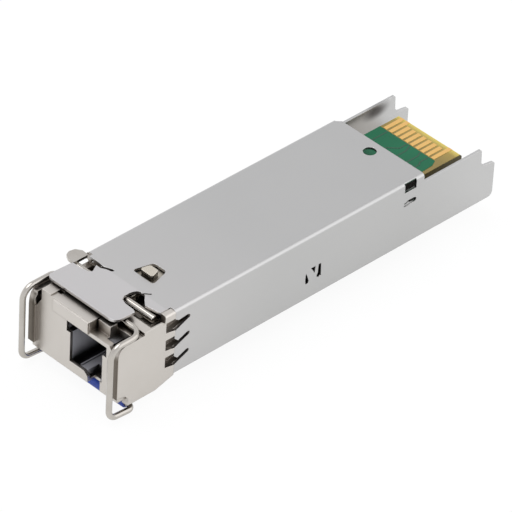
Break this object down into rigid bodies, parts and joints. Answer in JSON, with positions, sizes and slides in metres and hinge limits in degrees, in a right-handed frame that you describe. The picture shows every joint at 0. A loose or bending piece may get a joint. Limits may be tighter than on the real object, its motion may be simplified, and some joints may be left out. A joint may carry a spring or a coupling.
{
  "type": "sfp transceiver",
  "caption": "Small pluggable optical transceiver with a fibre port, a wire bail latch in front and a gilt card edge at the rear.",
  "frame": {"origin": "centre of the width on the casting's flat outer face, 10.1 mm behind the nose", "axes": "+Y from the nose to the card edge, +Z from the flat face to the belly with the latch"},
  "size_m": [0.015, 0.0567, 0.0106],
  "materials": {
    "cast_nickel": "nickel-plated zinc casting, satin",
    "sheet_nickel": "nickel-plated folded steel sheet, satin",
    "wire_nickel": "nickel-plated steel wire, polished",
    "lever_nickel": "nickel-plated steel, satin",
    "blue_plastic": "moulded, satin blue",
    "black_plastic": "moulded, matt black",
    "ceramic_white": "ground zirconia",
    "steel": "turned stainless steel",
    "gilt": "gold plate over nickel",
    "board_core": "bare glass-epoxy laminate",
    "mask_green": "green solder mask",
    "flex_amber": "polyimide film",
    "chip_black": "moulded epoxy",
    "part_tan": "fired ceramic with tinned ends",
    "pad_grey": "soft heat-conducting pad"
  },
  "bodies": {
    "body": {"nose_casting": "cast_nickel", "cover": "sheet_nickel", "lever_pin": "wire_nickel", "latch_spring": "steel", "port_insert": "black_plastic", "ferrule_sleeve": "ceramic_white", "fibre_stub": "ceramic_white", "receptacle_barrel": "steel", "receptacle_yoke": "steel", "optics_body": "steel", "laser_can": "gilt", "detector_can": "gilt", "laser_leads": "gilt", "detector_leads": "gilt", "laser_flex": "flex_amber", "detector_flex": "flex_amber", "main_board": "board_core", "solder_mask": "mask_green", "edge_contacts": "gilt", "driver_chip": "chip_black", "controller_chip": "chip_black", "memory_chip": "chip_black", "capacitors": "part_tan", "resistors": "chip_black", "inductors": "chip_black", "thermal_pad": "pad_grey"},
    "bail": {"bail_wire": "wire_nickel", "bail_sleeve": "blue_plastic"},
    "lever": {"latch_lever": "lever_nickel"}
  },
  "joints": [
    {"name": "bail_swing", "type": "hinge", "parent": "body", "child": "bail", "pos_m": [0, -0.0071, 0.0076], "axis": [-1, 0, 0], "range_deg": [0, 90]},
    {"name": "latch_rock", "type": "hinge", "parent": "body", "child": "lever", "pos_m": [0, -0.00397, 0.00745], "axis": [-0.9968, 0.0804, 0], "range_deg": [0, 8], "deforming": ["latch_spring"]}
  ],
  "couplings": [
    {"joint": "latch_rock", "follows": "bail_swing", "ratio": 0.0888}
  ]
}
